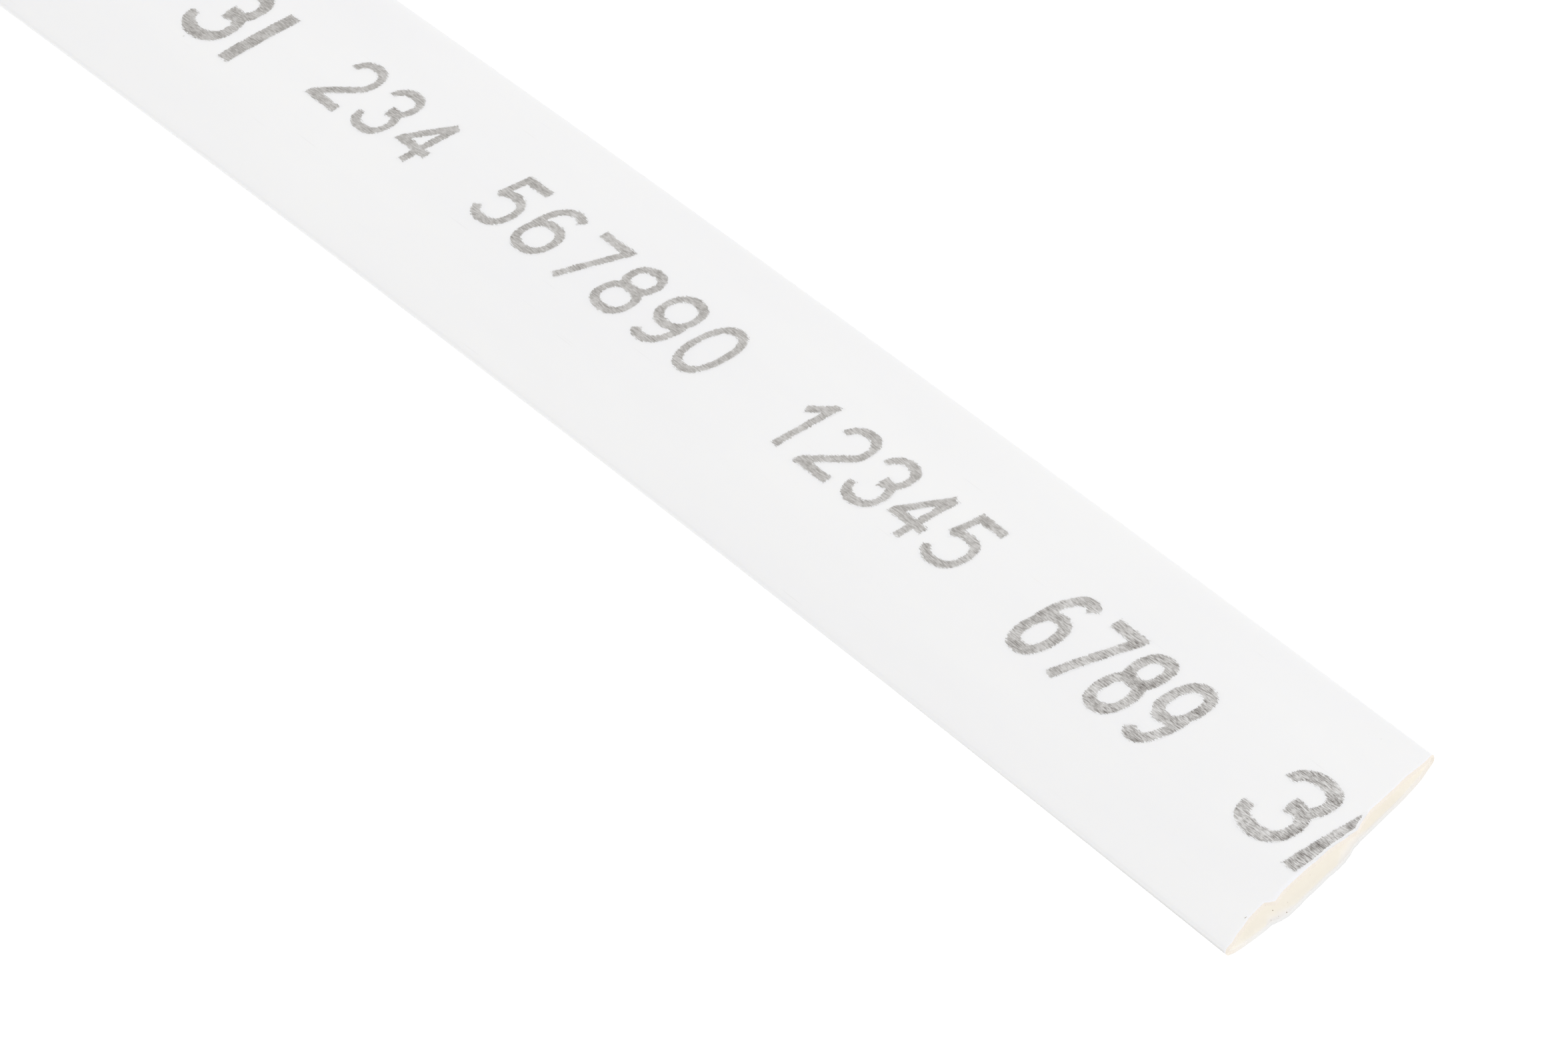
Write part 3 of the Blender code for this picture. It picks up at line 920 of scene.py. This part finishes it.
def stamped_foil(name, greys, middle_grey, bare_from, ragged, metal):
    """Silver-grey stamping foil, pressed on hot: it took the film's die lines as fine streaks of light and
    dark grey. Its rim breaks up along those lines, and in its middle the white film shows through pinholes.
    The film shows where the foil is thinner than bare_from, and ragged is how much thinner its rim is."""
    material = bpy.data.materials.new(name)
    material.use_nodes = True
    tree = material.node_tree
    shader = tree.nodes["Principled BSDF"]
    patches = add_node(
        tree, "ShaderNodeTexNoise",
        {"Vector": surface_pattern(tree, 1.6 * MM, 0.9 * MM), "Scale": 1.0, "Detail": 1.0},
    )
    streaks = add_node(
        tree, "ShaderNodeTexNoise",
        {"Vector": surface_pattern(tree, 0.55 * MM, 0.085 * MM), "Scale": 1.0, "Detail": 4.0,
         "Roughness": 0.66},
    )
    mottled = add_node(
        tree, "ShaderNodeMath", {0: patches.outputs["Fac"], 1: 0.35, 2: streaks.outputs["Fac"]},
        operation="MULTIPLY_ADD",
    )
    # The ramp has two stops to start with, which take the darkest and the lightest grey. The rest are added.
    tones = add_node(tree, "ShaderNodeValToRGB", {"Fac": mottled.outputs[0]})
    for element, (position, grey) in zip(list(tones.color_ramp.elements) + [None] * 2, greys):
        element = element or tones.color_ramp.elements.new(position)
        element.position = position
        element.color = linear(grey)
    # The end was handled most: further back the streaks stand out less from the foil's middle grey.
    place = add_node(tree, "ShaderNodeAttribute", attribute_name="along_round")
    parts = add_node(tree, "ShaderNodeSeparateXYZ", {"Vector": place.outputs["Vector"]})
    calmer = add_node(
        tree, "ShaderNodeMapRange",
        {"Value": parts.outputs["X"], "From Min": 10 * MM, "From Max": 45 * MM,
         "To Min": 0.0, "To Max": 0.45},
    )
    grey = add_node(
        tree, "ShaderNodeMix",
        {"Factor": calmer.outputs["Result"], 6: tones.outputs["Color"], 7: linear(middle_grey)},
        data_type="RGBA",
    )
    holes = add_node(
        tree, "ShaderNodeTexNoise",
        {"Vector": surface_pattern(tree, 0.34 * MM, 0.05 * MM), "Scale": 1.0, "Detail": 2.0,
         "Roughness": 0.6},
    )
    rim = add_node(tree, "ShaderNodeAttribute", attribute_name="from_rim")
    broken = add_node(
        tree, "ShaderNodeMapRange",
        {"Value": rim.outputs["Fac"], "From Min": 0.0, "From Max": 2 * RAGGED,
         "To Min": ragged, "To Max": 0.0},
    )
    thin = add_node(
        tree, "ShaderNodeMath", {0: patches.outputs["Fac"], 1: 0.25, 2: holes.outputs["Fac"]},
        operation="MULTIPLY_ADD",
    )
    thin = add_node(
        tree, "ShaderNodeMath", {0: thin.outputs[0], 1: broken.outputs["Result"]}, operation="ADD"
    )
    # It flaked off beside the cut, where the scissors bent the film.
    flaked = add_node(
        tree, "ShaderNodeMapRange",
        {"Value": parts.outputs["Z"], "From Min": 0.14 * MM, "From Max": 0.30 * MM,
         "To Min": 0.5, "To Max": 0.0},
    )
    thin = add_node(
        tree, "ShaderNodeMath", {0: thin.outputs[0], 1: flaked.outputs["Result"]}, operation="ADD"
    )
    bare = add_node(
        tree, "ShaderNodeMapRange",
        {"Value": thin.outputs[0], "From Min": bare_from, "From Max": bare_from + 0.09},
    ).outputs["Result"]
    colour = add_node(
        tree, "ShaderNodeMix", {"Factor": bare, 6: grey.outputs[2], 7: linear("#f2f2f3")}, data_type="RGBA"
    )
    tree.links.new(colour.outputs[2], shader.inputs["Base Color"])
    metallic = add_node(tree, "ShaderNodeMapRange", {"Value": bare, "To Min": metal, "To Max": 0.0})
    tree.links.new(metallic.outputs["Result"], shader.inputs["Metallic"])
    gloss = add_node(
        tree, "ShaderNodeMapRange", {"Value": streaks.outputs["Fac"], "To Min": 0.32, "To Max": 0.6}
    )
    tree.links.new(gloss.outputs["Result"], shader.inputs["Roughness"])
    relief = add_node(
        tree, "ShaderNodeBump", {"Strength": 0.5, "Distance": 0.008 * MM, "Height": streaks.outputs["Fac"]}
    )
    tree.links.new(relief.outputs["Normal"], shader.inputs["Normal"])
    return material


numerals = numerals_to_print()
kinds = sorted({(numeral, style) for numeral, style, _, _ in numerals})
shapes = bpy.data.collections.new("numeral_shapes")
for number, (numeral, style) in enumerate(kinds):
    width, height, stroke = (size * MM for size in style)
    fineness = 3 if style == PLAIN_ONE else 1
    shape = numeral_mesh(f"numeral_{number:02d}", numeral, width, height, stroke, fineness)
    shapes.objects.link(bpy.data.objects.new(f"numeral_{number:02d}", shape))

carrier = bpy.data.objects.new("print_places", print_places(numerals, kinds))
bpy.context.scene.collection.objects.link(carrier)
layer = carrier.modifiers.new("lay_foil_on_tube", "NODES")
layer.node_group = print_tree()
FOIL_GREYS = ((0.44, "#574f48"), (0.90, "#eae9e8"), (0.60, "#a6a3a0"), (0.72, "#d0cecc"))
TRACE_GREYS = ((0.45, "#b5b2ae"), (0.90, "#e9e8e7"), (0.60, "#cfcdca"), (0.72, "#dcdad8"))
foil = stamped_foil("hot_stamped_silver_foil", FOIL_GREYS, "#c8c5c1", 0.80, 0.35, 0.85)
trace = stamped_foil("thin_trace_of_foil", TRACE_GREYS, "#d8d6d3", 0.70, 0.0, 0.5)
inputs = {
    "Numerals": shapes, "Tube": tube, "Bow centre": (*BOW_CENTRE, 0.0), "Foil lift": 0.004 * MM,
    "Fleck step": 0.12 * MM, "Fleck spread": (0.30 * MM, 0.04 * MM, 0.006 * MM), "Fleck radius": 0.030 * MM,
    "Fleck share": 0.30, "Seed": 12, "Foil": foil, "Trace": trace,
}
for socket in layer.node_group.interface.items_tree:
    if socket.in_out == "INPUT" and socket.name in inputs:
        layer[socket.identifier] = inputs[socket.name]
evaluated = carrier.evaluated_get(bpy.context.evaluated_depsgraph_get())
foil_mesh = bpy.data.meshes.new_from_object(evaluated)
foil_mesh.name = "foil_numerals"
bpy.data.objects.remove(carrier)
for shape in list(shapes.objects):
    bpy.data.objects.remove(shape)
bpy.data.collections.remove(shapes)
print_piece = bpy.data.objects.new("foil_numerals", foil_mesh)
bpy.context.scene.collection.objects.link(print_piece)
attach(print_piece, "root")

# Table and light
# The tube lies on opal white acrylic that is lit from below as well as from above, so that it throws hardly
# any shadow. A softbox hangs over it and a second one stands behind it, on its +Y side.
TABLE_REACH = 8.0
TABLE_LEVEL = -0.01 * MM  # a hair under the tube, so that no two faces lie in one plane


def opal_acrylic():
    """White light-table acrylic: nearly all its light comes through it, with a very faint cloudiness."""
    material = bpy.data.materials.new("opal_white_acrylic")
    material.use_nodes = True
    tree = material.node_tree
    shader = tree.nodes["Principled BSDF"]
    place = add_node(tree, "ShaderNodeTexCoord")
    clouds = add_node(
        tree, "ShaderNodeTexNoise", {"Vector": place.outputs["Object"], "Scale": 4.0, "Detail": 2.0}
    )
    tint = add_node(tree, "ShaderNodeValToRGB", {"Fac": clouds.outputs["Fac"]})
    tint.color_ramp.elements[0].color = linear("#888888")
    tint.color_ramp.elements[1].color = linear("#8c8c8c")
    tree.links.new(tint.outputs["Color"], shader.inputs["Base Color"])
    shader.inputs["Roughness"].default_value = 0.6
    shader.inputs["Emission Color"].default_value = (1.0, 1.0, 1.0, 1.0)
    shader.inputs["Emission Strength"].default_value = 0.96
    return material


table_mesh = bpy.data.meshes.new("light_table")
corners = [(x * TABLE_REACH, y * TABLE_REACH, TABLE_LEVEL) for x, y in ((-1, -1), (1, -1), (1, 1), (-1, 1))]
table_mesh.from_pydata(corners, [], [(0, 1, 2, 3)])
table_mesh.materials.append(opal_acrylic())
table = bpy.data.objects.new("light_table", table_mesh)
bpy.context.scene.collection.objects.link(table)

world = bpy.data.worlds.new("studio")
world.use_nodes = True
world.node_tree.nodes["Background"].inputs["Color"].default_value = (1.0, 1.0, 1.0, 1.0)
world.node_tree.nodes["Background"].inputs["Strength"].default_value = 0.70
bpy.context.scene.world = world

for name, place, aim, size, power in (
    ("overhead_softbox", (0.3, 0.1, 1.4), (0.3, 0.0, 0.0), 1.4, 6.4),
    ("back_softbox", (-0.2, 1.6, 1.0), (0.3, 0.0, 0.0), 1.2, 4.9),
):
    light = bpy.data.lights.new(name, "AREA")
    light.size = size
    light.energy = power
    lamp = bpy.data.objects.new(name, light)
    lamp.location = place
    lamp.rotation_euler = (Vector(aim) - Vector(place)).to_track_quat("-Z", "Y").to_euler()
    bpy.context.scene.collection.objects.link(lamp)

bpy.context.scene.view_settings.view_transform = "Standard"
